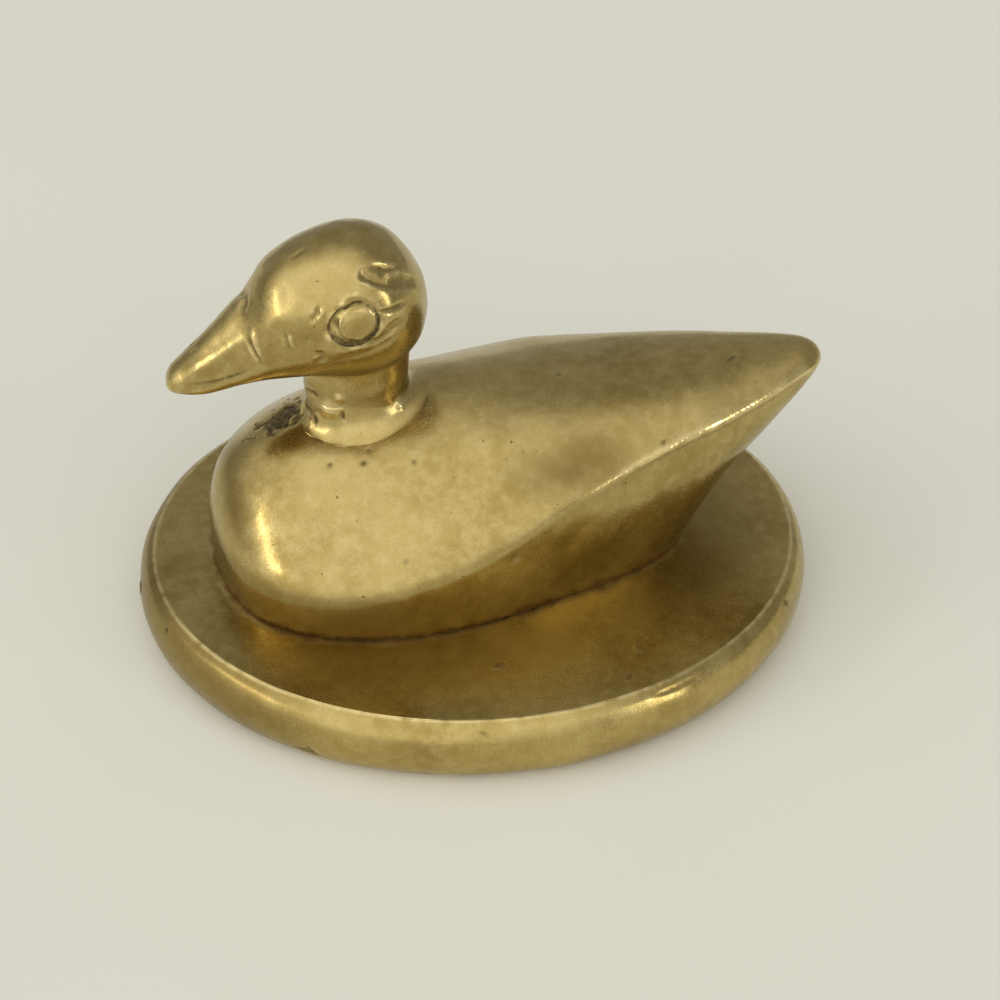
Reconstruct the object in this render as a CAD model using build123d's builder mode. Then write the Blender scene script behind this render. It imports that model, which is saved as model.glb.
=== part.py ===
"""Cast brass duck sitting on an oval base, built as the castings, braze and fixings it is made of.

Millimetres. +Z is up and the table is Z = 0. The duck faces -X and the middle plane is Y = 0.
The origin is under the centre of the oval base.
"""

import os
from collections import namedtuple

from build123d import *

# Oval base
base_length = 80.0
base_width = 68.8
base_thickness = 8.0
rim_bulge = 2.0

# Felt under the base, glued into a shallow recess
felt_thickness = 1.2
felt_proud = 0.3
felt_margin = 6.0
felt_gap = 0.1

# Screws that hold the body down on the base
screw_radius = 2.0
screw_head_radius = 3.5
screw_head_height = 2.4
screw_slot_width = 1.0
screw_slot_depth = 1.1
screw_grip = 8.0
screw_spacing = 26.0
screw_middle_x = -3.0
screw_clearance = 0.25
tap_depth_spare = 1.5
washer_radius = 4.4
washer_thickness = 0.8
counterbore_gap = 0.3
counterbore_spare = 0.2

# Duck, from bill to tail, across the body and above the base
duck_length = 74.2
duck_width = 38.6
duck_height = 41.7

# Neck, with the dowel inside it and a fillet of braze round its foot
neck_x = -0.182 * duck_length
neck_half_length = 0.0836 * duck_length
neck_half_width = 0.137 * duck_width
neck_waist = 0.4
neck_foot_height = 0.468 * duck_height
neck_height = 0.204 * duck_height
neck_sunk = 3.0
dowel_radius = 2.0
dowel_length = 14.0
dowel_gap = 0.05
dowel_end_gap = 0.3
braze_width = 3.0
braze_lip = 0.3
braze_height = 2.2
braze_sunk = 3.2

# Eyes, each a disc left standing in an oval sinking in the side of the head
eye_x = -0.191 * duck_length
eye_y = 0.2085 * duck_width
eye_height = 0.837 * duck_height
eye_long = 5.4
eye_short = 4.6
eye_disc_long = 3.9
eye_disc_short = 3.3
eye_disc_shift = 0.35
eye_depth = 0.8
eye_tilt = 28.0
eye_lean = 0.26

# Line of the mouth, cut into both sides of the bill
mouth_front_x = -0.447 * duck_length
mouth_back_x = -0.337 * duck_length
mouth_front_height = 0.59 * duck_height
mouth_back_height = 0.662 * duck_height
mouth_front_core = 0.039 * duck_width
mouth_back_core = 0.088 * duck_width
mouth_width = 0.25

# Heights and places that follow from the sizes above
base_bottom = felt_proud
base_top = base_bottom + base_thickness
recess_depth = felt_thickness - felt_proud
recess_roof = base_bottom + recess_depth
counterbore_depth = washer_thickness + screw_head_height + counterbore_spare
screw_seat = recess_roof + counterbore_depth
screw_places = [screw_middle_x - screw_spacing / 2, screw_middle_x + screw_spacing / 2]
felt_length = base_length - 2 * felt_margin
felt_width = base_width - 2 * felt_margin
neck_foot = base_top + neck_foot_height
dowel_bottom = neck_foot - dowel_length / 2
eye_z = base_top + eye_height

# Shape of a cross-section: the share of a Bezier handle that makes a quarter turn round,
# the lift of the flank off the foot, the swell under a ridge, the pitch of the top above it and
# the fall of the breast to either side
ROUND = 0.5523
FOOT_RISE = 0.15
FLANK_SWELL = 0.045
ROOF_PITCH = 0.12
BREAST_SLOPE = 0.22

# Half-round rim of the base: share of its height, share of the bulge taken off there
RIM_PROFILE = [(0.0, 1.0), (0.1, 0.5), (0.28, 0.14), (0.5, 0.0), (0.72, 0.14), (0.9, 0.5), (1.0, 1.0)]

# Fillet of braze: share of its height, share of its width left there
BRAZE_PROFILE = [(0.0, 1.0), (0.35, 0.52), (0.65, 0.2), (1.0, 0.0)]

# The duck's cross-sections are drawn at this size and stretched to the sizes above
Size = namedtuple("Size", "length width height")
drawn = Size(74.2, 38.6, 41.7)
stretch = Size(duck_length / drawn.length, duck_width / drawn.width, duck_height / drawn.height)

# A cross-section of a casting at x. The outline runs from a flat foot up a flank to the shoulder,
# where it is widest, and over the top. Heights are above the base. Crease is 0 where the flank
# rolls smoothly into the top and 1 where the two meet in a ridge.
Section = namedtuple("Section", "x half_width shoulder top foot bottom crease")

# The sections run from the breast to the tail, and dip below the base top where they stand on it
body_sections = [
    Section(-31.15, 1.3, 4.8, 6.0, 0.9, 3.4, 0.0),
    Section(-30.6, 5.2, 4.9, 9.2, 3.0, -0.6, 0.0),
    Section(-29.0, 10.2, 4.9, 12.7, 7.6, -1.8, 0.0),
    Section(-26.0, 14.5, 5.0, 15.7, 11.6, -2.0, 0.0),
    Section(-21.5, 17.4, 5.2, 18.3, 14.5, -2.0, 0.0),
    Section(-16.0, 18.9, 5.7, 20.1, 16.5, -2.0, 0.0),
    Section(-9.0, 19.3, 6.9, 21.3, 17.3, -2.0, 0.0),
    Section(-1.0, 18.3, 9.8, 21.8, 16.5, -2.0, 0.15),
    Section(7.0, 16.1, 14.0, 21.7, 14.0, -2.0, 0.6),
    Section(14.5, 13.3, 16.3, 21.9, 11.6, -2.0, 0.9),
    Section(21.5, 10.5, 17.9, 22.2, 7.8, -1.2, 1.0),
    Section(27.0, 8.5, 18.8, 22.4, 4.0, 5.0, 1.0),
    Section(32.0, 6.4, 19.7, 22.6, 1.9, 10.4, 1.0),
    Section(36.5, 4.0, 20.6, 22.7, 1.1, 15.2, 1.0),
    Section(39.0, 2.3, 20.9, 22.4, 0.7, 18.6, 0.8),
    Section(40.0, 1.0, 21.0, 21.5, 0.4, 20.1, 0.5),
]

# The sections run from the tip of the bill to the back of the head
head_sections = [
    Section(-34.2, 0.8, 24.7, 25.1, 0.4, 24.3, 0.0),
    Section(-33.7, 1.8, 24.7, 26.1, 0.8, 23.9, 0.0),
    Section(-32.4, 2.5, 24.8, 27.4, 1.2, 23.7, 0.0),
    Section(-29.6, 3.2, 25.5, 30.2, 1.7, 23.9, 0.0),
    Section(-26.8, 4.0, 26.9, 33.1, 2.0, 24.7, 0.0),
    Section(-24.6, 5.0, 28.6, 35.4, 2.3, 25.3, 0.0),
    Section(-23.0, 5.9, 30.2, 37.7, 2.5, 25.6, 0.0),
    Section(-20.6, 6.9, 31.6, 39.6, 2.7, 25.8, 0.0),
    Section(-17.0, 7.9, 32.8, 41.1, 2.8, 25.8, 0.0),
    Section(-13.0, 8.3, 33.4, 41.7, 2.8, 25.6, 0.0),
    Section(-9.4, 7.1, 33.4, 40.4, 2.4, 26.4, 0.0),
    Section(-7.0, 4.8, 33.0, 37.6, 1.7, 28.2, 0.0),
    Section(-5.9, 2.4, 32.8, 35.2, 0.9, 30.3, 0.0),
    Section(-5.6, 1.2, 32.7, 33.7, 0.5, 31.6, 0.0),
]


def section_face(section, slope=0.0):
    """The closed outline of one cross-section, as a face standing across the X axis.

    Slope is how much the top falls away from the middle, where it isn't creased.
    """
    x = section.x * stretch.length
    width = section.half_width * stretch.width
    foot = section.foot * stretch.width
    shoulder = base_top + section.shoulder * stretch.height
    top = base_top + section.top * stretch.height
    bottom = base_top + section.bottom * stretch.height
    rise, drop, tuck = top - shoulder, shoulder - bottom, width - foot
    flank_out = foot + ROUND * tuck
    flank_in = width + FLANK_SWELL * section.crease * drop
    roof = width * (1 - ROOF_PITCH * section.crease)
    full = ROUND - slope * (1 - section.crease)
    half = [
        Bezier(
            (x, foot, bottom),
            (x, flank_out, bottom + FOOT_RISE * drop),
            (x, flank_in, shoulder - ROUND * drop),
            (x, width, shoulder),
        ),
        Bezier(
            (x, width, shoulder),
            (x, roof, shoulder + full * rise),
            (x, width * full, top),
            (x, 0, top),
        ),
    ]
    other_half = [edge.mirror(Plane.XZ) for edge in half]
    foot_line = Line((x, -foot, bottom), (x, foot, bottom))
    return Face(Wire([foot_line, *half, *other_half[::-1]]))


def upright(radius, height, x, z, mode=Mode.ADD):
    """An upright cylinder standing at height z on the middle plane, in the part being built."""
    with Locations((x, 0, z)):
        Cylinder(radius, height, align=(Align.CENTER, Align.CENTER, Align.MIN), mode=mode)


# Oval base plate with a bulging rim, a felt recess below and two counterbored screw holes
with BuildPart() as base_plate:
    for height_share, bulge_share in RIM_PROFILE:
        inset = bulge_share * rim_bulge
        with BuildSketch(Plane.XY.offset(base_bottom + height_share * base_thickness)):
            Ellipse(base_length / 2 - inset, base_width / 2 - inset)
    loft()
    with BuildSketch(Plane.XY.offset(base_bottom)):
        Ellipse(felt_length / 2 + felt_gap, felt_width / 2 + felt_gap)
    extrude(amount=recess_depth, mode=Mode.SUBTRACT)
    for place in screw_places:
        bore_radius = washer_radius + counterbore_gap
        upright(bore_radius, counterbore_depth, place, recess_roof, Mode.SUBTRACT)
        hole_radius = screw_radius + screw_clearance
        upright(hole_radius, base_top - screw_seat, place, screw_seat, Mode.SUBTRACT)
base_plate.part.label = "base_plate"

# Body before it is drilled, flat where it stands on the base
with BuildPart() as body_blank:
    loft([section_face(section, BREAST_SLOPE) for section in body_sections])
    split(bisect_by=Plane.XY.offset(base_top), keep=Keep.TOP)

# Body casting, tapped for the screws and drilled for the neck dowel
with BuildPart() as body_casting:
    add(body_blank.part)
    for place in screw_places:
        upright(screw_radius, screw_grip + tap_depth_spare, place, base_top, Mode.SUBTRACT)
    upright(dowel_radius, dowel_length, neck_x, dowel_bottom, Mode.SUBTRACT)
body_casting.part.label = "body_casting"

# Head casting with a short waisted neck whose foot is shaped to the back of the body
with BuildPart() as head_casting:
    loft([section_face(section) for section in head_sections])
    for rise, waist in [(-neck_sunk, 0), (neck_height / 2, neck_waist), (neck_height, 0)]:
        with BuildSketch(Plane.XY.offset(neck_foot + rise)):
            with Locations((neck_x, 0)):
                Ellipse(neck_half_length - waist, neck_half_width - waist)
    loft()
    add(body_blank.part, mode=Mode.SUBTRACT)
    upright(dowel_radius + dowel_gap, dowel_length + dowel_end_gap, neck_x, dowel_bottom, Mode.SUBTRACT)
    for side in (-1, 1):
        eye_plane = Plane((eye_x, side * eye_y, eye_z), x_dir=(1, 0, 0), z_dir=(0, side, eye_lean))
        with BuildSketch(eye_plane):
            with Locations(Rotation(0, 0, -side * eye_tilt)):
                Ellipse(eye_long / 2, eye_short / 2)
                with Locations((eye_disc_shift, 0)):
                    Ellipse(eye_disc_long / 2, eye_disc_short / 2, mode=Mode.SUBTRACT)
        extrude(amount=eye_depth, both=True, mode=Mode.SUBTRACT)
    mouth_front = Vector(mouth_front_x, 0, base_top + mouth_front_height)
    mouth_run = Vector(mouth_back_x, 0, base_top + mouth_back_height) - mouth_front
    with BuildSketch(Plane(mouth_front, x_dir=mouth_run, z_dir=(-mouth_run.Z, 0, mouth_run.X))):
        with BuildLine():
            Polyline(
                (0, mouth_front_core),
                (mouth_run.length, mouth_back_core),
                (mouth_run.length, 3 * mouth_back_core),
                (0, 3 * mouth_back_core),
                close=True,
            )
        make_face()
        mirror(about=Plane.XZ)
    extrude(amount=mouth_width / 2, both=True, mode=Mode.SUBTRACT)
head_casting.part.label = "head_casting"

# Steel dowel pressed into the body and slipped into the neck
with BuildPart() as neck_dowel:
    upright(dowel_radius, dowel_length, neck_x, dowel_bottom)
neck_dowel.part.label = "neck_dowel"

# Fillet of braze that runs round the foot of the neck
with BuildPart() as neck_braze:
    for height_share, width_share in BRAZE_PROFILE:
        rise = height_share * (braze_sunk + braze_height) - braze_sunk
        spread = braze_lip + width_share * (braze_width - braze_lip)
        with BuildSketch(Plane.XY.offset(neck_foot + rise)):
            with Locations((neck_x, 0)):
                Ellipse(neck_half_length + spread, neck_half_width + spread)
    loft()
    add(body_blank.part, mode=Mode.SUBTRACT)
    add(head_casting.part, mode=Mode.SUBTRACT)
    upright(dowel_radius + dowel_gap, dowel_length, neck_x, dowel_bottom, Mode.SUBTRACT)
neck_braze.part.label = "neck_braze"

# Slotted pan head screws, heads downward in the counterbores
head_top = screw_seat - washer_thickness
head_bottom = head_top - screw_head_height
with BuildPart() as fixing_screws:
    for place in screw_places:
        upright(screw_head_radius, screw_head_height, place, head_bottom)
        upright(screw_radius, base_top + screw_grip - head_top, place, head_top)
        with Locations((place, 0, head_bottom)):
            Box(
                3 * screw_head_radius,
                screw_slot_width,
                screw_slot_depth,
                align=(Align.CENTER, Align.CENTER, Align.MIN),
                mode=Mode.SUBTRACT,
            )
fixing_screws.part.label = "fixing_screws"

# Flat washers between the screw heads and the base
with BuildPart() as screw_washers:
    for place in screw_places:
        upright(washer_radius, washer_thickness, place, head_top)
        upright(screw_radius + screw_clearance, washer_thickness, place, head_top, Mode.SUBTRACT)
screw_washers.part.label = "screw_washers"

# Felt pad in the recess, standing slightly proud of the base
with BuildPart() as felt_pad:
    with BuildSketch(Plane.XY):
        Ellipse(felt_length / 2, felt_width / 2)
    extrude(amount=felt_thickness)
felt_pad.part.label = "felt_pad"

os.makedirs("parts", exist_ok=True)
for piece in (
    base_plate,
    body_casting,
    head_casting,
    neck_dowel,
    neck_braze,
    fixing_screws,
    screw_washers,
    felt_pad,
):
    export_step(piece.part, f"parts/{piece.part.label}.step")
    print(piece.part.label, round(piece.part.volume, 1), len(piece.part.solids()), piece.part.is_valid)
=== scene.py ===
"""Looks of the cast brass duck: castings with their marks, aged brass, felt, studio light and camera."""

import math

import bpy
import numpy as np
from mathutils import Matrix, Quaternion, Vector, noise
from mathutils.bvhtree import BVHTree
from mathutils.kdtree import KDTree


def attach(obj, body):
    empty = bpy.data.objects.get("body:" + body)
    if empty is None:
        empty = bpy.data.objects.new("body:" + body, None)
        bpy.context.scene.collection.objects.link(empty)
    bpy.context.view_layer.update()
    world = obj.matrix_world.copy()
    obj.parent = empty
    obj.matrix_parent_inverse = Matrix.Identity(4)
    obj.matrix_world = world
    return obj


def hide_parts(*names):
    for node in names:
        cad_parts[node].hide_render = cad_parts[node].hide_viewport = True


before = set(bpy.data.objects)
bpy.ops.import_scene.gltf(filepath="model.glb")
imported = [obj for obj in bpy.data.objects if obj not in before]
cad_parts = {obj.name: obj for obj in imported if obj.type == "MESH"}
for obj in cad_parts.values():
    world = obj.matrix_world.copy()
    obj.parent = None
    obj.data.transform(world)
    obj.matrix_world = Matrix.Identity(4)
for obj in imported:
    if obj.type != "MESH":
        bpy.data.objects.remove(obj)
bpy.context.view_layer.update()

scene = bpy.context.scene
MM = 0.001

# The camera's place and the height of the base's flat top, in millimetres
CAMERA_AT = Vector((-27.568, -164.535, 144.744))
BASE_TOP = 8.3

# Strength of a tool mark at the ends of its path, and how far a mark may move to reach a mesh
END_STRENGTH = 0.25
FURTHEST_LAID = 4.0


# Mesh tools. Points are in millimetres inside these functions, and in metres in the meshes.


def bake(obj):
    """Turns an object's modifiers into its mesh."""
    graph = bpy.context.evaluated_depsgraph_get()
    mesh = bpy.data.meshes.new_from_object(obj.evaluated_get(graph))
    obj.modifiers.clear()
    obj.data = mesh


def remeshed(node, name, voxel, relax):
    """A new object with the shape of a CAD node, in even small faces that can be sculpted."""
    obj = bpy.data.objects.new(name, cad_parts[node].data.copy())
    scene.collection.objects.link(obj)
    grid = obj.modifiers.new("grid", "REMESH")
    grid.mode = "VOXEL"
    grid.voxel_size = voxel * MM
    soft = obj.modifiers.new("soft", "SMOOTH")
    soft.factor = 0.5
    soft.iterations = relax
    bake(obj)
    obj.data.materials.clear()
    obj.data.polygons.foreach_set("use_smooth", [True] * len(obj.data.polygons))
    return obj


def new_object(name, points, faces):
    """A new smoothly shaded object made of the given points and faces."""
    mesh = bpy.data.meshes.new(name)
    mesh.from_pydata((points * MM).tolist(), [], faces)
    mesh.polygons.foreach_set("use_smooth", [True] * len(mesh.polygons))
    mesh.update()
    obj = bpy.data.objects.new(name, mesh)
    scene.collection.objects.link(obj)
    return obj


def ring_faces(rows, steps, closed):
    """Faces between rings of points, and from the last ring to the first if closed."""
    faces = []
    for row in range(rows if closed else rows - 1):
        here, there = row * steps, (row + 1) % rows * steps
        for step in range(steps):
            after = (step + 1) % steps
            faces.append((here + step, there + step, there + after, here + after))
    return faces


def points_of(obj):
    mesh = obj.data
    co = np.empty(len(mesh.vertices) * 3, np.float32)
    mesh.vertices.foreach_get("co", co)
    return co.reshape(-1, 3).astype(float) / MM


def normals_of(obj):
    mesh = obj.data
    out = np.empty(len(mesh.vertices) * 3, np.float32)
    mesh.vertices.foreach_get("normal", out)
    return out.reshape(-1, 3).astype(float)


def put_points(obj, points):
    obj.data.vertices.foreach_set("co", (points * MM).astype(np.float32).ravel())
    obj.data.update()


def put_mask(obj, name, values):
    """Stores one number per point for the materials to read."""
    layer = obj.data.attributes.new(name, "FLOAT", "POINT")
    layer.data.foreach_set("value", np.clip(values, 0, 1).astype(np.float32))


def smooth_step(values, low, high):
    """0 below low, 1 above high and a smooth rise between them. High may be the lower number."""
    t = np.clip((values - low) / (high - low), 0, 1)
    return t * t * (3 - 2 * t)


def bell(distance, width):
    """1 at distance 0, falling smoothly to nearly 0 at twice the width."""
    return np.exp(-((distance / width) ** 2))


def path_distance(points, path):
    """Distance of each point from a line of points, and how far along the line its nearest place is."""
    path = np.asarray(path, float)
    steps = np.linalg.norm(np.diff(path, axis=0), axis=1)
    starts = np.concatenate([[0], np.cumsum(steps)])
    best = np.full(len(points), 1e9)
    share = np.zeros(len(points))
    for start, end, step, begin in zip(path[:-1], path[1:], steps, starts):
        t = np.clip((points - start) @ (end - start) / step**2, 0, 1)
        d = np.linalg.norm(points - start - t[:, None] * (end - start), axis=1)
        nearer = d < best
        best[nearer] = d[nearer]
        share[nearer] = (begin + t[nearer] * step) / starts[-1]
    return best, share


def stroke(points, path, width, taper=0.25):
    """How strongly a tool run along a line marks each point, from 0 to 1, fading at the line's ends."""
    distance, share = path_distance(points, path)
    ends = np.clip(np.minimum(share, 1 - share) / taper, 0, 1)
    return bell(distance, width) * (END_STRENGTH + (1 - END_STRENGTH) * ends)


def blot(points, centre, radius):
    """A soft round spot, 1 at its centre."""
    return bell(np.linalg.norm(points - np.asarray(centre, float), axis=1), radius)


def oval(points, centre, along, across, half_length, half_width):
    """Distance of each point from the middle of an oval, 1 at its edge."""
    away = points - np.array(centre)
    along, across = np.array(Vector(along).normalized()), np.array(Vector(across).normalized())
    return np.hypot(away @ along / half_length, away @ across / half_width)


def ripple(points, wave, seed, count=14):
    """A smooth random swell of about the given wavelength, between about -1 and 1."""
    rng = np.random.default_rng(seed)
    total = np.zeros(len(points))
    for _ in range(count):
        direction = rng.normal(size=3)
        direction *= 2 * math.pi / (wave * rng.uniform(0.7, 1.5)) / np.linalg.norm(direction)
        total += np.sin(points @ direction + rng.uniform(0, 2 * math.pi))
    return total / math.sqrt(count)


def swell(points, waves):
    """The sum of several ripples, each given as a height, a wavelength and a seed."""
    return sum(height * ripple(points, wave, seed) for height, wave, seed in waves)


def rough(points, size, where, seed):
    """Broken noise of about the given grain size, worked out only where the mask is above zero."""
    out = np.zeros(len(points))
    for i in np.nonzero(where > 0.01)[0]:
        x, y, z = points[i] / size
        out[i] = noise.noise((x + seed, y - seed, z + 2 * seed))
        out[i] += 0.5 * noise.noise((2.1 * x - seed, 2.1 * y, 2.1 * z + seed))
    return out


def hollowness(obj, rounds):
    """Positive in hollows, negative on ridges, in millimetres, evened out over a few rounds."""
    mesh = obj.data
    edges = np.empty(len(mesh.edges) * 2, np.int32)
    mesh.edges.foreach_get("vertices", edges)
    a, b = edges.reshape(-1, 2).T
    count = np.bincount(a, minlength=len(mesh.vertices)) + np.bincount(b, minlength=len(mesh.vertices))
    points, normals = points_of(obj), normals_of(obj)

    def mean(values):
        total = np.bincount(a, values[b], len(count)) + np.bincount(b, values[a], len(count))
        return total / np.maximum(count, 1)

    around = np.stack([mean(points[:, k]) for k in range(3)], axis=1)
    bend = ((around - points) * normals).sum(axis=1)
    for _ in range(rounds):
        bend = 0.5 * bend + 0.5 * mean(bend)
    return bend


def cut(points, marks):
    """Depth and dirt of a list of tool marks, each a path, a width, a depth and a darkness."""
    depth = np.zeros(len(points))
    dirt = np.zeros(len(points))
    for path, width, deep, dark in marks:
        mark = stroke(points, path, width)
        depth += deep * mark
        dirt = np.maximum(dirt, dark * mark)
    return depth, dirt


def tree_of(obj):
    """An object's faces, ready to be hit by sight lines."""
    faces = [tuple(face.vertices) for face in obj.data.polygons]
    return BVHTree.FromPolygons(points_of(obj).tolist(), faces)


def seen_on(tree, path):
    """A path laid on a mesh along the camera's sight lines. Points that would move far are left alone."""
    out = []
    for point in path:
        hit = tree.ray_cast(CAMERA_AT, (Vector(point) - CAMERA_AT).normalized())[0]
        near = hit is not None and (hit - Vector(point)).length < FURTHEST_LAID
        out.append(tuple(hit) if near else point)
    return out


def laid(tree, marks):
    """A list of tool marks with their paths laid on a mesh."""
    return [(seen_on(tree, path), *rest) for path, *rest in marks]


# Scars of the neck joint, which run across the head, the braze and the body

CAVITY = [(-24.5, 0.7, 24.6), (-22.9, 1.2, 25.3), (-21.5, 1.6, 26.2), (-20.5, 1.2, 27.8)]
CAVITY_WIDE, CAVITY_DEEP, CAVITY_DARK = 1.7, 0.22, 0.95
# Lip of the cavity, raised and painted bright as a glint line
CAVITY_LIP = [(-19.9, 0.6, 29.9), (-20.0, -1.0, 29.7), (-20.2, -1.6, 28.6)]
LIP_WIDE, LIP_HIGH, LIP_GLINT = 0.4, 0.14, 0.8
RAGGED, RAGGED_WAVE, RAGGED_SEEDS = 0.16, 1.5, (71, 72, 73)
JOINT_CRACKS = [
    ([(-19.5, -2.1, 29.9), (-19.3, -2.7, 29.4)], 0.4, 0.35, 1.0),
    ([(-19.6, -2.4, 29.1), (-20.4, -2.0, 27.8), (-21.2, -1.1, 26.6), (-22.4, -0.2, 25.5)], 0.38, 0.32, 1.0),
    ([(-19.3, -2.8, 29.1), (-18.8, -3.6, 28.9), (-18.7, -4.1, 28.2)], 0.32, 0.28, 1.0),
    ([(-15.9, -5.4, 29.6), (-15.4, -5.0, 30.0)], 0.3, 0.26, 1.0),
    ([(-19.1, -1.2, 31.2), (-18.4, -2.4, 31.3), (-17.8, -3.3, 31.3)], 0.24, 0.2, 0.7),
]

# Drops of braze, each a place, a radius and a height. Each drop is also painted bright as a glint.
DROPS = [((-16.9, -4.1, 30.2), 1.3, 0.5), ((-15.9, -4.6, 31.9), 0.55, 0.2), ((-9.2, -4.3, 30.0), 0.45, 0.2)]


def joint_scars(points, tree):
    """Move, dirt and painted glint that the scars of the neck joint give each point of a mesh."""
    ragged = points + RAGGED * np.stack([ripple(points, RAGGED_WAVE, seed) for seed in RAGGED_SEEDS], axis=1)
    depth, dirt = cut(ragged, laid(tree, JOINT_CRACKS))
    cavity = stroke(points, seen_on(tree, CAVITY), CAVITY_WIDE, 0.35)
    cavity = smooth_step(cavity + 0.45 * rough(points, 0.9, cavity, 31.0), 0.3, 0.45)
    lip = stroke(points, seen_on(tree, CAVITY_LIP), LIP_WIDE)
    move = LIP_HIGH * lip - depth - CAVITY_DEEP * cavity
    # The lip and the drops are painted bright, as glints
    painted_glint = LIP_GLINT * lip
    for centre, radius, height in DROPS:
        drop = blot(points, seen_on(tree, [centre])[0], radius)
        move += height * drop
        painted_glint = np.maximum(painted_glint, drop)
    return move, np.maximum(dirt, CAVITY_DARK * cavity), painted_glint


# Head: eyes, carved lines, mouth, and the dents and nicks of its left side

HEAD_VOXEL, HEAD_RELAX = 0.19, 5
HEAD_SWELL = [(0.035, 6.0, 3), (0.012, 2.2, 4)]

# Eye: middle, axes and half sizes of the sinking and of the disc in it. Reach is how far in and out it goes.
EYE = np.array((-14.17, -8.05, 43.2))
EYE_OUT = np.array((0.0, -0.968, 0.252))
EYE_TILT = math.radians(28)
EYE_LONG = np.array((math.cos(EYE_TILT), 0.252 * math.sin(EYE_TILT), 0.968 * math.sin(EYE_TILT)))
EYE_SHORT = np.cross(EYE_OUT, EYE_LONG)
EYE_HALF_LONG, EYE_HALF_SHORT = 2.7, 2.3
DISC_HALF_LONG, DISC_HALF_SHORT, DISC_SHIFT = 1.95, 1.65, 0.35
EYE_REACH, EYE_DEPTH, EYE_FILL = 1.7, 0.8, 0.6
SOCKET_SWELL, SOCKET_SINK = [(0.1, 1.7, 9)], 0.02

# Marks on both sides of the head, written for the left side. A depth below zero stands proud.
CARVED = [
    ([(-11.7, -7.6, 44.3), (-10.2, -7.2, 44.2), (-8.7, -6.1, 44.2)], 0.24, 0.24, 0.8),
    ([(-13.4, -8.3, 40.7), (-11.6, -8.0, 41.3), (-10.3, -7.6, 42.0), (-8.8, -6.6, 42.6)], 0.34, 0.17, 0.35),
    ([(-11.2, -7.9, 41.9), (-10.3, -7.5, 42.6), (-9.0, -6.8, 43.0)], 0.26, 0.12, 0.3),
    ([(-16.5, -7.7, 39.0), (-14.5, -8.1, 39.5), (-12.7, -8.1, 40.0), (-9.6, -7.2, 41.2)], 0.7, 0.12, 0.05),
    ([(-15.6, -7.1, 45.5), (-14.5, -6.9, 46.1), (-13.2, -6.8, 46.4)], 0.45, -0.12, 0.0),
    ([(-25.0, -4.0, 40.3), (-24.7, -4.6, 39.3), (-24.0, -5.3, 37.8)], 0.26, 0.3, 0.75),
    ([(-24.5, -4.0, 41.2), (-24.2, -4.9, 39.6), (-23.6, -5.6, 38.0)], 0.4, -0.2, 0.0),
    ([(-21.3, -6.3, 42.0), (-21.2, -6.6, 41.2), (-20.9, -6.8, 40.0)], 0.26, 0.16, 0.3),
    ([(-20.9, -6.5, 41.8), (-20.6, -6.9, 40.2)], 0.34, -0.17, 0.0),
    ([(-31.4, -2.7, 34.0), (-29.1, -3.3, 34.5), (-27.1, -3.9, 35.4), (-25.2, -4.7, 36.5)], 0.17, 0.05, 0.85),
    ([(-31.4, -0.7, 36.6), (-30.5, -0.9, 37.5)], 0.26, 0.15, 0.6),
    ([(-32.3, -2.2, 34.5), (-29.5, -2.7, 36.5), (-27.4, -3.1, 38.2), (-25.4, -3.8, 40.2)], 0.8, -0.3, 0.0),
    (
        [
            (-25.4, -3.7, 40.2), (-24.1, -4.5, 41.2), (-21.6, -5.6, 43.4),
            (-18.0, -6.3, 45.5), (-16.2, -6.6, 46.1),
        ],
        1.4, -0.22, 0.0,
    ),
]

# Marks that aren't mirrored: nick before the eye, dent and pits of the cheek, notch above the bill
NICKS = [
    ([(-18.6, -7.1, 43.5), (-17.9, -7.0, 44.2), (-17.6, -6.8, 45.0)], 0.3, 0.22, 0.15),
    ([(-18.2, -7.3, 43.6), (-17.5, -7.2, 44.3), (-17.2, -7.0, 45.0)], 0.34, -0.2, 0.0),
    ([(-25.6, -2.4, 42.2), (-25.0, 0.0, 43.2), (-25.6, 2.4, 42.2)], 0.6, 0.42, 0.05),
    ([(-18.5, -7.5, 39.9), (-17.8, -7.7, 39.8), (-17.6, -7.6, 39.1), (-18.1, -7.4, 38.6)], 0.34, 0.18, 0.3),
    ([(-19.2, -7.3, 41.6), (-19.0, -7.3, 41.5)], 0.28, 0.12, 0.4),
    ([(-22.9, -5.9, 40.2), (-22.7, -5.9, 40.0)], 0.25, 0.1, 0.35),
    ([(-19.7, -1.7, 48.1), (-18.2, -1.3, 48.9)], 0.25, 0.07, 0.0),
]

# Crushed oval behind the eye: a flat sunk floor with one bent scrap of metal standing in it
CRUSH, CRUSH_ALONG, CRUSH_ACROSS = (-10.2, -5.0, 46.7), (5.8, 3.4, -1.6), (0.2, 1.9, 1.8)
CRUSH_LONG, CRUSH_WIDE, CRUSH_DEEP, CRUSH_DARK = 3.4, 1.35, 0.3, 0.34
CRUSH_EDGE, CRUSH_SWELL = [(0.1, 2.0, 12)], [(0.08, 1.6, 13)]
SCRAP = [(-10.5, -5.4, 47.0), (-9.7, -4.7, 47.2), (-8.7, -4.0, 46.9)]
SCRAP_WIDE, SCRAP_HIGH = 0.4, 0.3

# Heights between which the neck turns smooth, its filed facets, and how much painted shade darkens it and the
# jaw's underside
NECK_SMOOTH, NECK_ROUGH = 33.4, 31.9
NECK_SWELL, NECK_GRAIN, NECK_GRAIN_SIZE = [(0.06, 3.5, 8)], 0.03, 1.1
NECK_SHADE, JAW_SHADE, JAW_FRONT = 0.6, 0.9, -24

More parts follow.
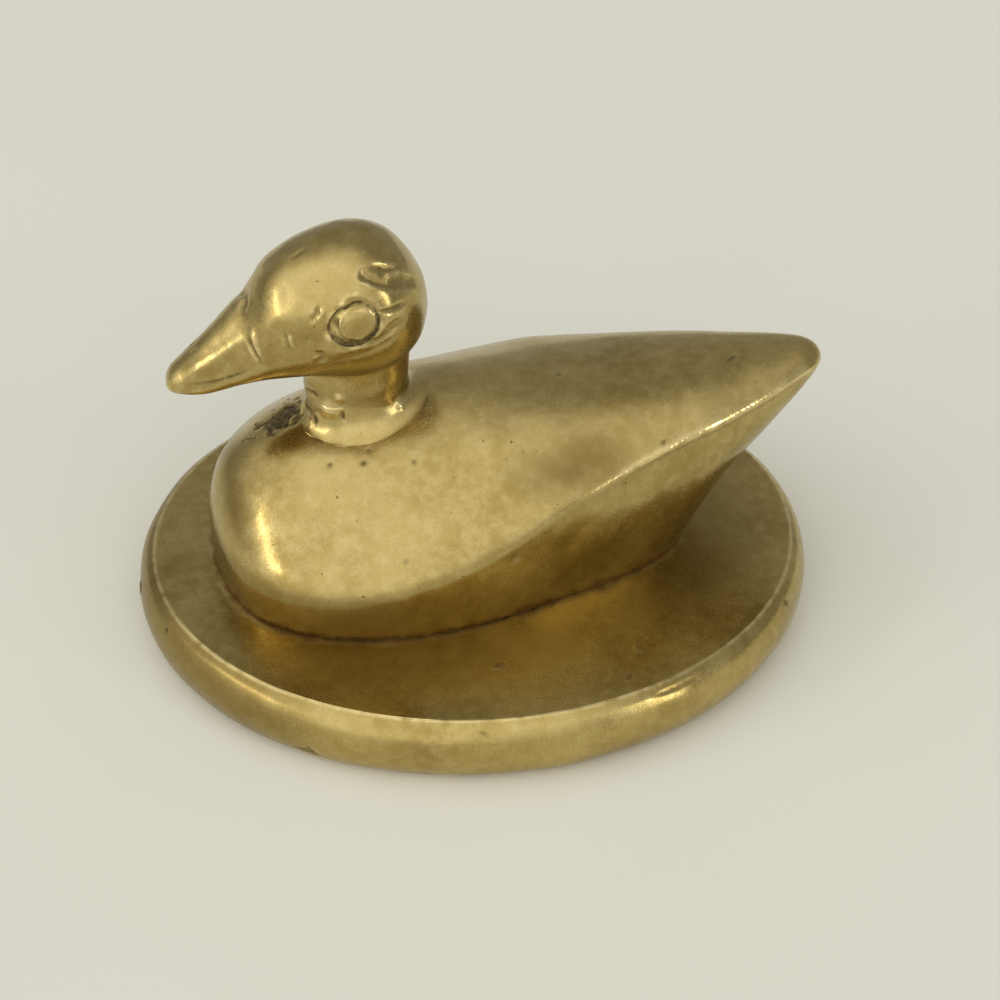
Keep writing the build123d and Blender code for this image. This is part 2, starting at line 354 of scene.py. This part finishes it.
head = remeshed("head_casting", "duck_head", HEAD_VOXEL, HEAD_RELAX)
points = points_of(head)
normals = normals_of(head)
move, dirt_and_shade, painted_glint = joint_scars(points, tree_of(head))
move += swell(points, HEAD_SWELL)
lift = np.zeros_like(points)
for flip in (1, -1):
    mirror = np.array((1, flip, 1))
    near = points * mirror
    depth, dirt = cut(near, CARVED)
    from_eye = near - EYE
    along, across, out = from_eye @ EYE_LONG, from_eye @ EYE_SHORT, from_eye @ EYE_OUT
    outer = np.hypot(along / EYE_HALF_LONG, across / EYE_HALF_SHORT)
    inner = np.hypot((along - DISC_SHIFT) / DISC_HALF_LONG, across / DISC_HALF_SHORT)
    at_eye = np.abs(out) < EYE_REACH
    ring = smooth_step(outer, 1.08, 1.0) * smooth_step(inner, 0.96, 1.06) * at_eye
    below, edge = smooth_step(across, 0.4, -1.4), smooth_step(outer, 0.84, 0.97)
    dirt = np.maximum(dirt, ring * (0.25 + 0.4 * below + 0.5 * edge))
    sunk = np.clip(-out / EYE_DEPTH, 0, 1) * (outer < 1.0) * (inner > 0.9) * at_eye
    lift += (EYE_FILL * sunk * smooth_step(inner, 1.5, 1.0))[:, None] * EYE_OUT * mirror
    socket = smooth_step(outer, 1.35, 1.05) * smooth_step(inner, 0.85, 1.05) * at_eye
    move += socket * (swell(near, SOCKET_SWELL) - SOCKET_SINK) - depth
    dirt_and_shade = np.maximum(dirt_and_shade, dirt)
depth, dirt = cut(points, NICKS)
move -= depth
dirt_and_shade = np.maximum(dirt_and_shade, dirt)
crush = oval(points, CRUSH, CRUSH_ALONG, CRUSH_ACROSS, CRUSH_LONG, CRUSH_WIDE) + swell(points, CRUSH_EDGE)
crush = smooth_step(crush, 1.12, 0.62) * (points[:, 1] < 0)
scrap = stroke(points, SCRAP, SCRAP_WIDE)
move += crush * (swell(points, CRUSH_SWELL) - CRUSH_DEEP) + SCRAP_HIGH * scrap
dirt_and_shade = np.maximum(dirt_and_shade, crush * CRUSH_DARK * (1 - scrap))
neck = smooth_step(points[:, 2], NECK_SMOOTH, NECK_ROUGH)
move += neck * (swell(points, NECK_SWELL) + NECK_GRAIN * rough(points, NECK_GRAIN_SIZE, neck, 7.0))
put_points(head, points + move[:, None] * normals + lift)
bend = hollowness(head, 3)
put_mask(head, "dirt_and_shade", np.maximum(dirt_and_shade, 0.4 * np.clip(bend / 0.012, 0, 1)))
put_mask(head, "wear_and_glint", np.maximum(painted_glint, np.clip(-bend / 0.011 - 0.2, 0, 1)))
# Painted shade on the lower neck and on the downward-facing underside of the jaw, left off where glints are
# painted
under_jaw = smooth_step(normals[:, 2], -0.1, -0.7) * (points[:, 0] > JAW_FRONT)
put_mask(head, "painted_shade", np.maximum(NECK_SHADE * neck, JAW_SHADE * under_jaw) * (1 - painted_glint))

# Body: swells, worn ridges painted bright as glint lines, a groove below them painted dark as a shadow line,
# a hollow, pits, painted shade on the breast and in the hollow, and crust where it meets the base

BODY_VOXEL, BODY_RELAX = 0.27, 5
BODY_SWELL = [(0.06, 11.0, 21), (0.015, 4.0, 22)]

# Left ridge, from the tail forwards. The groove starts just below it and falls away from it point by point.
RIDGE = [
    (39.0, -2.3, 29.2), (36.5, -4.0, 28.9), (32.0, -6.4, 28.0), (27.0, -8.5, 27.1),
    (21.5, -10.5, 26.2), (14.5, -13.3, 24.6), (8.0, -15.7, 22.6),
]
RIDGE_WIDE, RIDGE_HIGH = 0.5, 0.15
GROOVE_BELOW, GROOVE_FALL = 0.55, 0.09
# Width and depth of the groove, and how dark the shadow line painted along it is
GROOVE_WIDE, GROOVE_DEEP, GROOVE_SHADOW = 0.2, 0.08, 0.4

# Pits, each a place, a radius, a depth and a darkness
PITS = [
    ((1.5, -17.6, 17.7), 0.55, 0.1, 0.4),
    ((9.3, -0.6, 29.7), 0.34, 0.1, 1.0),
    ((19.4, -10.4, 26.2), 0.3, 0.08, 1.0),
    ((-17.5, -8.3, 25.7), 0.28, 0.06, 1.0),
    ((-13.9, -9.1, 26.2), 0.32, 0.07, 0.9),
    ((-13.2, -7.7, 26.8), 0.26, 0.05, 0.7),
    ((-8.5, -10.3, 26.6), 0.28, 0.06, 0.8),
    ((-10.6, -18.4, 19.5), 0.3, 0.06, 0.5),
]
TAIL_CRACK = [([(28.2, -2.0, 30.6), (29.0, -1.6, 30.6), (29.9, -1.0, 30.7)], 0.3, 0.15, 1.0)]

# Hollow above the left ridge, which is also painted darker as shade
DISH, DISH_ALONG, DISH_ACROSS = (9.4, -12.2, 26.5), (11.0, 2.9, 1.1), (-1.3, 4.2, 2.6)
DISH_LONG, DISH_WIDE, DISH_DEEP = 8.0, 3.5, 0.9

# Painted shade in an arc across the breast, written for its left half, and round the breast's foot
BREAST_SHADE = [
    (-26.6, -11.8, 17.0), (-27.8, -8.7, 18.2), (-28.4, -5.3, 19.8), (-28.5, -2.0, 21.2), (-28.0, 0.0, 22.0),
]
BREAST_SHADE_WIDE, FOOT_SHADE = 1.9, 0.85

# Crust above the seam: its mean height and how that varies
SEAM_HIGH, SEAM_SWELL, SEAM_LEAST = 0.4, [(0.2, 6.0, 27)], 0.2

body = remeshed("body_casting", "duck_body", BODY_VOXEL, BODY_RELAX)
points = points_of(body)
normals = normals_of(body)
tree = tree_of(body)
move, dirt_and_shade, painted_glint = joint_scars(points, tree)
move += swell(points, BODY_SWELL)
left = points[:, 1] < 0
folded = points * np.where(points[:, 1:2] > 0, (1, -1, 1), (1, 1, 1))
ridge, share = path_distance(folded, RIDGE)
ridge = bell(ridge, RIDGE_WIDE) * smooth_step(share, 1.0, 0.7)
below_ridge = [(x, y, z - GROOVE_BELOW - GROOVE_FALL * number) for number, (x, y, z) in enumerate(RIDGE[:-1])]
groove = stroke(folded, seen_on(tree, below_ridge), GROOVE_WIDE, 0.3)
move += RIDGE_HIGH * ridge - GROOVE_DEEP * groove
# The groove is painted dark as a shadow line
dirt_and_shade = np.maximum(dirt_and_shade, GROOVE_SHADOW * groove)
# The ridges are painted bright as glint lines
painted_glint = np.maximum(painted_glint, ridge)
dish = oval(points, seen_on(tree, [DISH])[0], DISH_ALONG, DISH_ACROSS, DISH_LONG, DISH_WIDE)
dish = bell(dish, 1) * left
move -= DISH_DEEP * dish
for centre, radius, deep, dark in PITS:
    mark = blot(points, seen_on(tree, [centre])[0], radius)
    move -= deep * mark
    dirt_and_shade = np.maximum(dirt_and_shade, dark * mark)
depth, dirt = cut(points, laid(tree, TAIL_CRACK))
move -= depth
dirt_and_shade = np.maximum(dirt_and_shade, dirt)
put_points(body, points + move[:, None] * normals)
put_mask(body, "dirt_and_shade", dirt_and_shade)
# Painted shade: a band across the breast, the breast's foot and the hollow are darkened
shade_band, share = path_distance(folded, seen_on(tree, BREAST_SHADE))
shade_band = bell(shade_band, BREAST_SHADE_WIDE) * smooth_step(share, 0.0, 0.4)
breast_foot = smooth_step(points[:, 2], 16.4, 14.2) * smooth_step(points[:, 0], 2.0, -16.0)
put_mask(body, "painted_shade", np.maximum.reduce([shade_band, FOOT_SHADE * breast_foot, dish]))
put_mask(body, "wear_and_glint", np.maximum(painted_glint, np.clip(-hollowness(body, 3) / 0.03 - 0.2, 0, 1)))
seam = np.maximum(SEAM_LEAST, SEAM_HIGH + swell(points, SEAM_SWELL))
put_mask(body, "residue", 1.1 - (points[:, 2] - BASE_TOP) / seam)

# Braze: a skirt that runs down the neck and out onto the body, with its edges sunk into both

NECK_X, NECK_LONG, NECK_WIDE = -13.5, 5.7, 4.8
SKIRT_TOP, SKIRT_SINK = 31.3, 0.02
SKIRT_ROWS, SKIRT_STEPS, FIXED_ROWS = 40, 360, 4

# How far the skirt reaches out from the neck, how much more behind it, and how hollow its curve is
SKIRT_REACH, SKIRT_TRAIL, SKIRT_HOLLOW = 2.3, 0.8, 1.4
SKIRT_SWELL = [(0.04, 2.6, 42)]
# How dark the skirt's upper part is painted, as shade
SKIRT_SHADE = 0.7
ABOVE_ALL = 60

body_tree = tree_of(body)


def skirt_ring(share, extra, height):
    """A ring of points round the neck, at a share of the skirt's reach and some extra.

    Height is a function that gets the body's height there and gives the point's own.
    """
    ring = []
    for angle in np.linspace(0, 2 * math.pi, SKIRT_STEPS, endpoint=False):
        reach = share * (SKIRT_REACH + SKIRT_TRAIL * math.cos(angle)) + extra
        x = NECK_X + (NECK_LONG + reach) * math.cos(angle)
        y = (NECK_WIDE + reach) * math.sin(angle)
        on_body = body_tree.ray_cast(Vector((x, y, ABOVE_ALL)), Vector((0, 0, -1)))[0].z
        ring.append((x, y, height(on_body)))
    return ring


def skirt_row(turn):
    """A row of the skirt's outside, a hollow quarter round: down the neck at turn 0, along the body at 1."""
    lean = (1 - turn) * math.pi / 2
    rise = (1 - math.cos(lean)) ** SKIRT_HOLLOW
    out = 1 - math.sin(lean)
    return skirt_ring(out, 0, lambda on_body: on_body - SKIRT_SINK + rise * (SKIRT_TOP - on_body))


rings = [
    skirt_ring(0, -0.9, lambda on_body: SKIRT_TOP - 0.4),
    skirt_ring(0, -0.35, lambda on_body: SKIRT_TOP + 0.1),
    *[skirt_row(row / SKIRT_ROWS) for row in range(SKIRT_ROWS + 1)],
    skirt_ring(1, 0.4, lambda on_body: on_body - 0.3),
    skirt_ring(1, 0, lambda on_body: on_body - 0.7),
    skirt_ring(0, -0.9, lambda on_body: on_body - 0.7),
]
bead = new_object("neck_bead", np.array(rings).reshape(-1, 3), ring_faces(len(rings), SKIRT_STEPS, True))
points = points_of(bead)
normals = normals_of(bead)
move, dirt_and_shade, painted_glint = joint_scars(points, tree_of(bead))
front = smooth_step(points[:, 0], -14.0, -18.0)
move += front * swell(points, SKIRT_SWELL)

# The rows at the skirt's two edges stay where they are sunk
row = np.repeat(np.arange(len(rings)), SKIRT_STEPS)
free = (row >= 2 + FIXED_ROWS) & (row < SKIRT_ROWS)
put_points(bead, points + (free * move)[:, None] * normals)
bend = hollowness(bead, 2)
put_mask(bead, "dirt_and_shade", np.maximum(dirt_and_shade, 0.4 * front * np.clip(bend / 0.02, 0, 1)))
# Worn colour of the drops and the cavity's lip, painted bright as glints
put_mask(bead, "wear_and_glint", painted_glint)
# Painted shade on the skirt's upper part, left off where glints are painted
put_mask(bead, "painted_shade", SKIRT_SHADE * smooth_step(points[:, 2], 28.8, 31.6) * (1 - painted_glint))

# Base: a cast oval, worn along its top edge and painted bright there as a glint line, with nicks in the rim,
# painted shade on its top and on the front of its rim, and crust round the duck

RIM_NICKS = [
    ([(-24.2, -27.0, 2.2), (-23.0, -27.7, 2.1), (-21.4, -28.6, 1.9)], 0.4, 0.2, 0.9),
    ([(-22.9, -27.5, 2.6), (-22.4, -28.1, 1.7)], 0.3, 0.16, 0.9),
    ([(-4.9, -33.1, 7.7), (-4.3, -33.4, 7.4), (-4.2, -33.7, 7.0)], 0.2, 0.1, 0.5),
    ([(20.0, -28.4, 7.6), (17.4, -29.7, 7.5), (14.6, -30.8, 7.6)], 0.3, 0.12, 0.4),
    ([(-37.2, -10.6, 6.6), (-36.9, -11.3, 6.4)], 0.4, 0.12, 0.8),
]
BASE_LONG, BASE_WIDE, BASE_BOTTOM, RIM_BULGE = 40.0, 34.4, 0.3, 2.0

# Rim from its top edge to its bottom edge: share of the height, share of the bulge taken off there
RIM_SHARES = [(1.0, 1.0), (0.9, 0.5), (0.72, 0.14), (0.5, 0.0), (0.28, 0.14), (0.1, 0.5), (0.0, 1.0)]
RECESS_LONG, RECESS_WIDE, RECESS_ROOF = 34.1, 28.5, 1.2

# Rings of the flat top, which reach this far in from its edge, of the rim and of the worn arris between them
TOP_ROWS, TOP_REACH, RIM_ROWS, ARRIS_ROWS, BASE_STEPS = 90, 22.0, 60, 9, 720
ARRIS_LONG, ARRIS_WIDE = BASE_LONG - RIM_BULGE, BASE_WIDE - RIM_BULGE
# How round the arris is, and how wide the worn band along it that is painted bright as a glint line
ARRIS_ROUND, ARRIS_GLINT = 0.22, 0.2
TOP_SWELL, RIM_SWELL = [(0.012, 9.0, 51)], [(0.035, 9.0, 52)]

# Crust round the duck: how far it reaches, how far it is solid, and its lumps
CRUST_REACH, CRUST_SOLID, CRUST_EDGE = 0.9, 0.3, [(0.3, 4.0, 55)]
CRUST_HIGH, CRUST_MEAN, CRUST_LUMPS = 0.12, 0.7, [(0.5, 2.0, 56)]

# Height below which the base stays smooth, and the distance from the duck given to points off its flat top
UNDERSIDE = 0.8
FAR_FROM_DUCK = 99.0

# The top is painted darker as shade, more so near the duck and less before its breast, where the rim is
# painted darker as shade instead
TOP_SHADE, RIM_SHADE, FORE_BRIGHT = 0.2, 0.9, 0.9


def rim_point(way):
    """A point of the rim, as inset and height: way 0 is the top edge and way 1 the bottom edge."""
    tall = BASE_TOP - BASE_BOTTOM
    knots = np.array([(RIM_BULGE * share, BASE_BOTTOM + tall * rise) for rise, share in RIM_SHARES])
    slopes = np.gradient(knots, axis=0)
    knot = min(int(way * (len(knots) - 1)), len(knots) - 2)
    t = way * (len(knots) - 1) - knot
    start, end = knots[knot], knots[knot + 1]
    bulge = (t - 1) ** 2 * t * slopes[knot] + (t - 1) * t**2 * slopes[knot + 1]
    return start + t * t * (3 - 2 * t) * (end - start) + bulge


def base_profile():
    """The base's outline from its flat top round to the bottom of its rim, as inset and height."""
    top_edge = RIM_BULGE + ARRIS_ROUND
    top = [(top_edge + TOP_REACH * (row / TOP_ROWS) ** 2, BASE_TOP) for row in range(TOP_ROWS, -1, -1)]
    ways = [0.5 - 0.5 * math.cos(math.pi * row / RIM_ROWS) for row in range(RIM_ROWS + 1)]
    rim = [tuple(rim_point(way)) for way in ways]
    corner = (RIM_BULGE, BASE_TOP)
    rim = [point for point in rim if math.dist(point, corner) > ARRIS_ROUND]
    arc = []
    for t in np.linspace(0, 1, ARRIS_ROWS + 2)[1:-1]:
        ends = (1 - t) ** 2 * np.array(top[-1]) + t**2 * np.array(rim[0])
        arc.append(tuple(ends + 2 * t * (1 - t) * np.array(corner)))
    return top + arc + rim


rings = [(BASE_LONG - inset, BASE_WIDE - inset, height) for inset, height in base_profile()]
rings += [(RECESS_LONG, RECESS_WIDE, BASE_BOTTOM), (RECESS_LONG, RECESS_WIDE, RECESS_ROOF)]
turns = np.linspace(0, 2 * math.pi, BASE_STEPS, endpoint=False)
points = [
    np.stack([long * np.cos(turns), wide * np.sin(turns), np.full(BASE_STEPS, height)], axis=1)
    for long, wide, height in rings
]
points = np.concatenate([*points, [(0, 0, BASE_TOP), (0, 0, RECESS_ROOF)]])
top_middle, roof_middle = len(points) - 2, len(points) - 1
last_ring = (len(rings) - 1) * BASE_STEPS
faces = ring_faces(len(rings), BASE_STEPS, False)
next_step = [*range(1, BASE_STEPS), 0]
faces += [(top_middle, step, after) for step, after in enumerate(next_step)]
faces += [(roof_middle, last_ring + after, last_ring + step) for step, after in enumerate(next_step)]
base = new_object("oval_base", points, faces)
points = points_of(base)
normals = normals_of(base)
flat_top = (points[:, 2] > BASE_TOP - 0.01) & (normals[:, 2] > 0.98)
move = np.where(flat_top, swell(points, TOP_SWELL), swell(points, RIM_SWELL))
depth, dirt_and_shade = cut(points, laid(tree_of(base), RIM_NICKS))

# Distance of the flat top's points from the duck's foot
foot = KDTree(len(body.data.vertices))
for number, point in enumerate(points_of(body)):
    if BASE_TOP + 0.2 < point[2] < BASE_TOP + 0.8:
        foot.insert(point, number)
foot.balance()
from_duck = np.full(len(points), FAR_FROM_DUCK)
for number in np.nonzero(flat_top)[0]:
    from_duck[number] = foot.find(points[number])[2]

crust = smooth_step(from_duck, CRUST_REACH + swell(points, CRUST_EDGE), CRUST_SOLID)
move += CRUST_HIGH * crust * (CRUST_MEAN + swell(points, CRUST_LUMPS))
put_points(base, points + np.where(points[:, 2] < UNDERSIDE, 0, move - depth)[:, None] * normals)
# The worn arris is painted bright as a glint line
arris = (np.hypot(points[:, 0] / ARRIS_LONG, points[:, 1] / ARRIS_WIDE) - 1) * ARRIS_WIDE
arris = bell(np.hypot(arris, points[:, 2] - BASE_TOP), ARRIS_GLINT)
put_mask(base, "dirt_and_shade", dirt_and_shade)
put_mask(base, "wear_and_glint", arris)
put_mask(base, "residue", crust)
# Painted shade on the top, strongest near the duck, and on the rim before the breast, left off the arris
fore = smooth_step(points[:, 0], -17.0, -31.0)
shaded_top = (TOP_SHADE + (1 - TOP_SHADE) * smooth_step(from_duck, 13.0, 4.0)) * (1 - FORE_BRIGHT * fore)
put_mask(base, "painted_shade", np.where(flat_top, shaded_top, RIM_SHADE * fore) * (1 - arris))

# Felt under the base

FELT_VOXEL, FELT_RELAX = 0.45, 3
FUZZ, FUZZ_SIZE = 0.05, 0.7

felt = remeshed("felt_pad", "felt_pad_sheet", FELT_VOXEL, FELT_RELAX)
points = points_of(felt)
normals = normals_of(felt)
fuzz = FUZZ * (np.clip(rough(points, FUZZ_SIZE, np.ones(len(points)), 61.0), -1, 0.9) - 1)
fuzz *= 1 - 0.6 * np.clip((points[:, 2] - BASE_BOTTOM) / 0.3, 0, 1)
put_points(felt, points + fuzz[:, None] * normals)


# Materials


class Nodes:
    """A material's node tree, with short calls to add and join its nodes."""

    def __init__(self, name):
        self.material = bpy.data.materials.new(name)
        self.material.use_nodes = True
        self.tree = self.material.node_tree
        self.shader = self.tree.nodes["Principled BSDF"]
        self.where = self.add("ShaderNodeTexCoord").outputs["Object"]

    def add(self, kind, inputs=(), **settings):
        """A new node with the given settings, its inputs set or joined."""
        node = self.tree.nodes.new(kind)
        for name, value in settings.items():
            setattr(node, name, value)
        for key, value in dict(inputs).items():
            self.set(node.inputs[key], value)
        return node

    def set(self, socket, value):
        """Gives a socket a plain value or joins another socket to it."""
        if isinstance(value, bpy.types.NodeSocket):
            self.tree.links.new(value, socket)
        else:
            socket.default_value = value

    def noise(self, size, detail=3.0, roughness=0.55):
        """Noise whose lumps are about the given size in millimetres."""
        node = self.add(
            "ShaderNodeTexNoise",
            {"Vector": self.where, "Scale": 1 / (size * MM), "Detail": detail, "Roughness": roughness},
        )
        return node.outputs["Fac"]

    def between(self, value, low, high, out_low=0.0, out_high=1.0):
        """The value's place between low and high, as a number between two others."""
        node = self.add(
            "ShaderNodeMapRange",
            {"Value": value, "From Min": low, "From Max": high, "To Min": out_low, "To Max": out_high},
            interpolation_type="SMOOTHSTEP",
        )
        return node.outputs["Result"]

    def maths(self, operation, first, second):
        return self.add("ShaderNodeMath", {0: first, 1: second}, operation=operation).outputs[0]

    def mix(self, share, first, second):
        """The first colour with a share of the second."""
        node = self.add("ShaderNodeMix", data_type="RGBA")
        self.set(node.inputs["Factor"], share)
        self.set(node.inputs["A"], first)
        self.set(node.inputs["B"], second)
        return node.outputs["Result"]

    def mask(self, name):
        """A mask that was stored on the mesh, 0 where the mesh has none of that name."""
        return self.add("ShaderNodeAttribute", attribute_name=name).outputs["Fac"]

    def bump(self, height, distance, normal=None):
        """Bumps of the given height in millimetres, on top of another node's bumps if there are any."""
        inputs = {"Height": height, "Distance": distance * MM}
        if normal is not None:
            inputs["Normal"] = normal
        return self.add("ShaderNodeBump", inputs).outputs["Normal"]


def rgb(r, g, b):
    return (r, g, b, 1.0)


PIT_COLOUR = rgb(0.07, 0.045, 0.014)
# Colour of painted shade
SHADE_COLOUR = rgb(0.2, 0.13, 0.035)
# Colour of worn edges and of painted glints
WORN_AND_GLINT_COLOUR = rgb(0.86, 0.7, 0.34)
# Colour of dirt and of painted shadow lines
DIRT_AND_SHADE_COLOUR = rgb(0.035, 0.024, 0.009)
CRUST_COLOUR = rgb(0.13, 0.062, 0.012)


def brass(name, dark, middle, pale, smooth, coarse, pits):
    """Aged cast brass: patina in clouds, fine grain, pits, painted shade, dirt with a painted shadow line,
    crust, and worn ridges with painted glints.

    Smooth and coarse are the least and most roughness of its grain. More pits show with a higher number.
    """
    n = Nodes(name)
    cloud = n.noise(9.0, 4.0)
    mottle = n.noise(1.6, 4.0, 0.6)
    grain = n.noise(0.22, 2.0, 0.6)
    pit = n.between(n.noise(0.6, 1.0), pits, pits - 0.05)
    # Painted shade stored on the meshes, which also makes the surface a little rougher
    painted_shade = n.mask("painted_shade")
    # Worn edges, and glints painted along the ridges, the braze drops and the base's arris
    wear_and_glint = n.maths("MULTIPLY", n.mask("wear_and_glint"), n.between(mottle, 0.25, 0.6))
    # Dirt, which also holds a shadow line painted below the ridges
    dirt_edge = n.between(n.noise(0.5, 3.0), 0.2, 0.8, 0.55, 1.25)
    dirt = n.maths("MINIMUM", n.maths("MULTIPLY", n.mask("dirt_and_shade"), dirt_edge), 1.0)
    crust_edge = n.between(n.noise(0.8, 4.0, 0.65), 0.25, 0.75, 0.2, 1.5)
    crust = n.maths("MINIMUM", n.maths("MULTIPLY", n.mask("residue"), crust_edge), 1.0)

    tone = n.mix(n.between(cloud, 0.3, 0.7), rgb(*dark), rgb(*middle))
    tone = n.mix(n.between(mottle, 0.35, 0.75, 0.0, 0.55), tone, rgb(*pale))
    tone = n.mix(n.between(grain, 0.25, 0.75, 0.22, 0.0), tone, rgb(*[0.45 * c for c in dark]))
    tone = n.mix(n.maths("MULTIPLY", pit, 0.7), tone, PIT_COLOUR)
    # Painted shade, worn edges with painted glints, and dirt with a painted shadow line
    tone = n.mix(n.maths("MULTIPLY", painted_shade, 0.66), tone, SHADE_COLOUR)
    tone = n.mix(n.maths("MULTIPLY", wear_and_glint, 0.8), tone, WORN_AND_GLINT_COLOUR)
    tone = n.mix(n.maths("MULTIPLY", dirt, 0.93), tone, DIRT_AND_SHADE_COLOUR)
    tone = n.mix(n.maths("MULTIPLY", crust, 0.85), tone, CRUST_COLOUR)
    n.set(n.shader.inputs["Base Color"], tone)
    n.shader.inputs["Specular IOR Level"].default_value = 0.15

    gloss = n.between(grain, 0.2, 0.8, smooth, coarse)
    gloss = n.maths("ADD", gloss, n.between(cloud, 0.3, 0.7, -0.03, 0.05))
    gloss = n.maths("SUBTRACT", gloss, n.maths("MULTIPLY", wear_and_glint, 0.12))
    gloss = n.maths("ADD", gloss, n.maths("MULTIPLY", n.maths("MAXIMUM", dirt, crust), 0.3))
    gloss = n.maths("ADD", gloss, n.maths("MULTIPLY", painted_shade, 0.06))
    n.set(n.shader.inputs["Roughness"], gloss)

    filth = n.maths("MULTIPLY", n.maths("MAXIMUM", dirt, n.maths("MULTIPLY", crust, 0.8)), -0.6)
    n.set(n.shader.inputs["Metallic"], n.maths("ADD", filth, 1.0))

    normal = n.bump(mottle, 0.012)
    normal = n.bump(grain, 0.006, normal)
    normal = n.bump(n.maths("SUBTRACT", 1.0, pit), 0.03, normal)
    n.set(n.shader.inputs["Normal"], normal)
    return n.material


duck_brass = brass(
    "aged_brass", (0.4, 0.29, 0.09), (0.54, 0.41, 0.155), (0.66, 0.53, 0.23),
    smooth=0.17, coarse=0.29, pits=0.24,
)
base_brass = brass(
    "base_brass", (0.39, 0.28, 0.085), (0.54, 0.41, 0.145), (0.66, 0.53, 0.22),
    smooth=0.18, coarse=0.3, pits=0.2,
)
bead_brass = brass(
    "braze_brass", (0.4, 0.29, 0.09), (0.54, 0.41, 0.155), (0.68, 0.55, 0.24),
    smooth=0.16, coarse=0.28, pits=0.24,
)

steel = Nodes("plain_steel")
brushed = steel.noise(0.6, 3.0)
steel_tone = steel.mix(steel.between(brushed, 0.3, 0.7), rgb(0.36, 0.35, 0.34), rgb(0.58, 0.58, 0.57))
steel.set(steel.shader.inputs["Base Color"], steel_tone)
steel.set(steel.shader.inputs["Roughness"], steel.between(brushed, 0.2, 0.8, 0.26, 0.42))
steel.shader.inputs["Metallic"].default_value = 1.0
steel.set(steel.shader.inputs["Normal"], steel.bump(brushed, 0.01))

green = Nodes("green_felt")
fibre = green.noise(0.35, 4.0, 0.7)
clump = green.noise(2.4, 3.0)
felt_tone = green.mix(green.between(clump, 0.3, 0.7), rgb(0.03, 0.075, 0.04), rgb(0.05, 0.12, 0.06))
felt_tone = green.mix(green.between(fibre, 0.5, 0.8, 0.0, 0.5), felt_tone, rgb(0.1, 0.2, 0.11))
green.set(green.shader.inputs["Base Color"], felt_tone)
green.shader.inputs["Roughness"].default_value = 0.95
green.shader.inputs["Sheen Weight"].default_value = 0.4
green.set(green.shader.inputs["Normal"], green.bump(fibre, 0.12))

for piece, material, slot, nodes in [
    (head, duck_brass, "duck_brass", ["head_casting"]),
    (body, duck_brass, "duck_brass", ["body_casting"]),
    (bead, bead_brass, "braze", ["neck_braze"]),
    (base, base_brass, "base_brass", ["base_plate"]),
    (felt, green.material, "felt", ["felt_pad"]),
]:
    piece.data.materials.append(material)
    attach(piece, "root")
    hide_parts(*nodes)
for node in ("neck_dowel", "fixing_screws", "screw_washers"):
    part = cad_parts[node]
    part.data.materials.clear()
    part.data.materials.append(steel.material)

# Floor

bpy.ops.mesh.primitive_plane_add(size=3.0, location=(0, 0.3, 0))
floor = bpy.context.object
floor.name = "floor"
pale = Nodes("pale_floor")
floor_tone = pale.mix(pale.noise(60.0, 3.0), rgb(0.83, 0.825, 0.725), rgb(0.87, 0.865, 0.765))
pale.set(pale.shader.inputs["Base Color"], floor_tone)
pale.shader.inputs["Roughness"].default_value = 0.65
pale.shader.inputs["Specular IOR Level"].default_value = 0.2
floor.data.materials.append(pale.material)

# Light: a soft studio, brightest from the front left above and dim behind, with a narrow lamp on either side

BRIGHTEST = (-0.471, -0.633, 0.614)
LEVELS = {"From Min": 0.14, "From Max": 0.87, "To Min": 0.36, "To Max": 1.21}

world = bpy.data.worlds.new("studio")
scene.world = world
world.use_nodes = True
sky = world.node_tree
where = sky.nodes.new("ShaderNodeTexCoord")
towards = sky.nodes.new("ShaderNodeVectorMath")
towards.operation = "DOT_PRODUCT"
towards.inputs[1].default_value = BRIGHTEST
sky.links.new(where.outputs["Generated"], towards.inputs[0])
level = sky.nodes.new("ShaderNodeMapRange")
level.interpolation_type = "SMOOTHSTEP"
for key, value in LEVELS.items():
    level.inputs[key].default_value = value
sky.links.new(towards.outputs["Value"], level.inputs["Value"])
background = sky.nodes["Background"]
background.inputs["Color"].default_value = rgb(1.0, 0.985, 0.955)
sky.links.new(level.outputs["Result"], background.inputs["Strength"])


def softbox(name, place, aim, width, height, power, roll=0.0):
    """A rectangular lamp that faces a point and is rolled about its own line of sight, in degrees."""
    light = bpy.data.lights.new(name, "AREA")
    light.shape = "RECTANGLE"
    light.size = width
    light.size_y = height
    light.energy = power
    obj = bpy.data.objects.new(name, light)
    scene.collection.objects.link(obj)
    obj.location = place
    obj.rotation_mode = "QUATERNION"
    facing = (Vector(aim) - Vector(place)).to_track_quat("-Z", "Y")
    obj.rotation_quaternion = facing @ Quaternion((0, 0, 1), math.radians(roll))


softbox("window", (-1.08, -0.27, 0.46), (-0.02, -0.01, 0.02), width=0.68, height=0.1, power=1.2, roll=-27)
softbox("side window", (0.83, -0.79, 0.32), (0.01, -0.01, 0.02), width=0.1, height=0.6, power=1.2)

# Camera at the photograph's angle

CAMERA_RIGHT = (0.98519965, -0.1707858, 0.01462423)
CAMERA_UP = (0.09494226, 0.61473406, 0.78299936)
CAMERA_BACK = (-0.14271519, -0.77002224, 0.62185057)

lens = bpy.data.cameras.new("camera")
lens.sensor_width = 36.0
lens.lens = 64.8
lens.clip_start = 0.01
camera = bpy.data.objects.new("camera", lens)
scene.collection.objects.link(camera)
turn = Matrix((CAMERA_RIGHT, CAMERA_UP, CAMERA_BACK)).transposed().to_4x4()
camera.matrix_world = Matrix.Translation(CAMERA_AT * MM) @ turn
scene.camera = camera
scene.view_settings.view_transform = "Standard"
